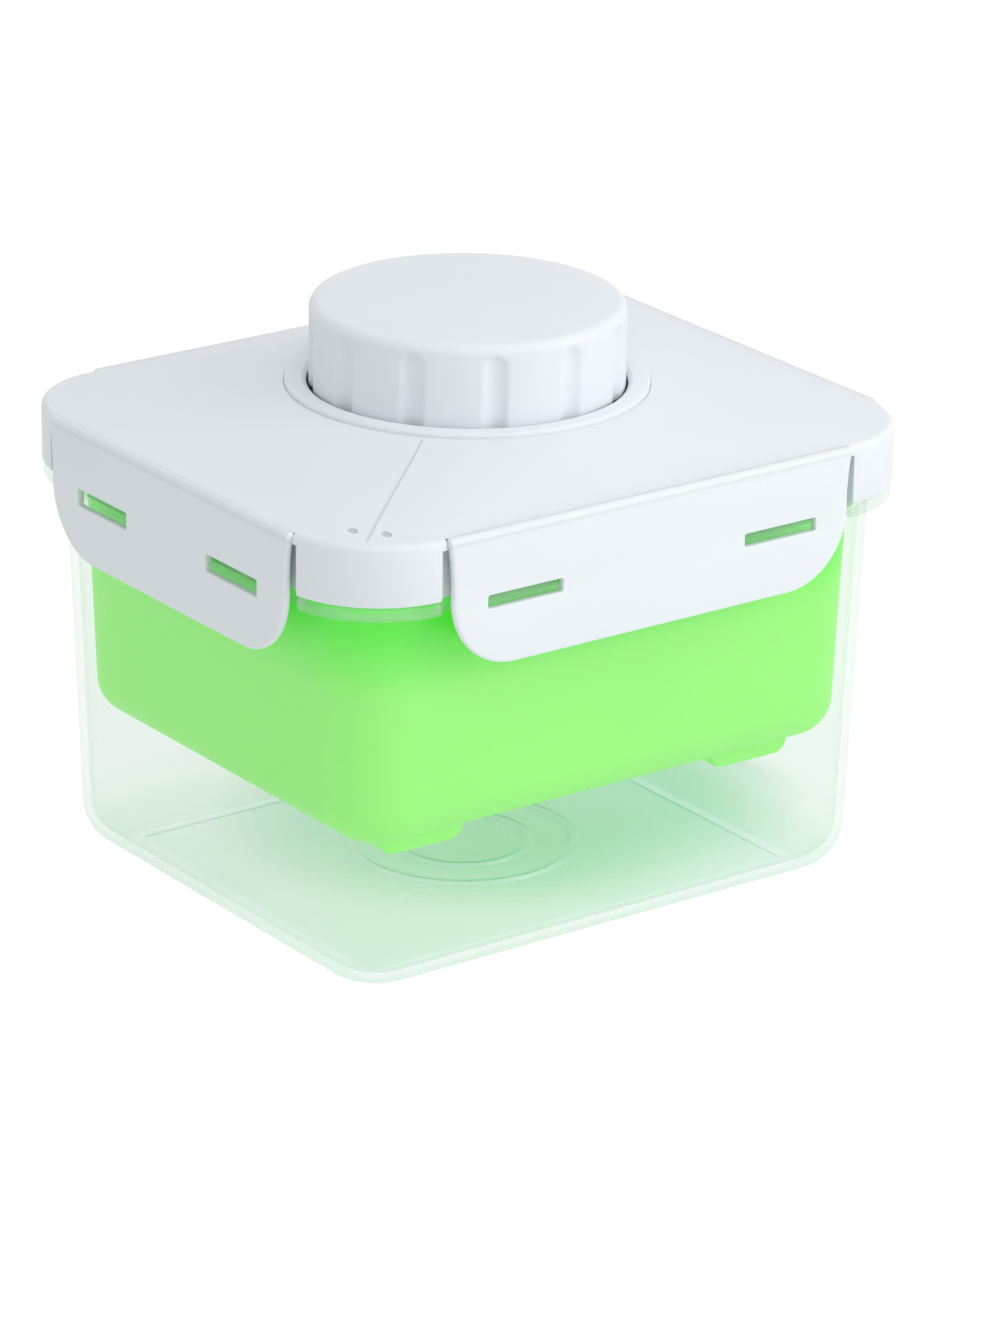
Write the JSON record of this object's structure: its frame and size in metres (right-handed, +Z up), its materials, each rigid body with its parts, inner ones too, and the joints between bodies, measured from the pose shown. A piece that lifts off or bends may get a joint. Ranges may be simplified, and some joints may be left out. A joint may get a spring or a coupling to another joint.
{
  "type": "tofu press",
  "caption": "Clear box with a hanging green drain basket, a white lid locked by side flaps, and a knob whose screw drives a press plate down.",
  "frame": {"origin": "middle of the box's underside, on the table", "axes": "+X along the long flaps, +Y towards the back, +Z up"},
  "size_m": [0.1674, 0.1454, 0.1388],
  "materials": {
    "clear_plastic": "frosted, see-through",
    "green_plastic": "satin, see-through",
    "white_plastic": "satin moulded",
    "silicone": "soft",
    "grey_plastic": "moulded",
    "plate_plastic": "moulded",
    "washer_plastic": "turned",
    "steel": "stainless"
  },
  "bodies": {
    "container": {"container": "clear_plastic"},
    "basket": {"basket": "green_plastic"},
    "lid": {"lid": "white_plastic", "lid_gasket": "silicone", "screw_housing": "white_plastic", "housing_clip": "steel", "thread_nut": "grey_plastic", "nut_screws": "steel"},
    "flap_front": {"flap_front": "white_plastic"},
    "flap_right": {"flap_right": "white_plastic"},
    "flap_back": {"flap_back": "white_plastic"},
    "flap_left": {"flap_left": "white_plastic"},
    "press_plate": {"press_plate": "plate_plastic", "thrust_washer": "washer_plastic", "pivot_washer": "steel", "pivot_screw": "steel"},
    "knob": {"knob_cap": "white_plastic", "screw_stem": "grey_plastic"}
  },
  "joints": [
    {"name": "lid_lift", "type": "slide", "parent": "container", "child": "lid", "axis": [0, 0, 1], "range_m": [0, 0.2]},
    {"name": "basket_lift", "type": "slide", "parent": "container", "child": "basket", "axis": [0, 0, 1], "range_m": [0, 0.1]},
    {"name": "flap_front_hinge", "type": "hinge", "parent": "lid", "child": "flap_front", "pos_m": [0, -0.0714, 0.11], "axis": [-1, 0, 0], "range_deg": [0, 135]},
    {"name": "flap_right_hinge", "type": "hinge", "parent": "lid", "child": "flap_right", "pos_m": [0.0824, 0, 0.11], "axis": [0, -1, 0], "range_deg": [0, 135]},
    {"name": "flap_back_hinge", "type": "hinge", "parent": "lid", "child": "flap_back", "pos_m": [0, 0.0714, 0.11], "axis": [1, 0, 0], "range_deg": [0, 135]},
    {"name": "flap_left_hinge", "type": "hinge", "parent": "lid", "child": "flap_left", "pos_m": [-0.0824, 0, 0.11], "axis": [0, 1, 0], "range_deg": [0, 135]},
    {"name": "knob_turn", "type": "hinge", "parent": "press_plate", "child": "knob", "pos_m": [0, 0, 0.09], "axis": [0, 0, -1], "range_deg": [0, 360]},
    {"name": "press_travel", "type": "slide", "parent": "lid", "child": "press_plate", "axis": [0, 0, -1], "range_m": [0, 0.018]}
  ],
  "couplings": [
    {"joint": "basket_lift", "follows": "lid_lift", "ratio": 0.5},
    {"joint": "press_travel", "follows": "knob_turn", "m_per_rad": 0.0028648}
  ]
}
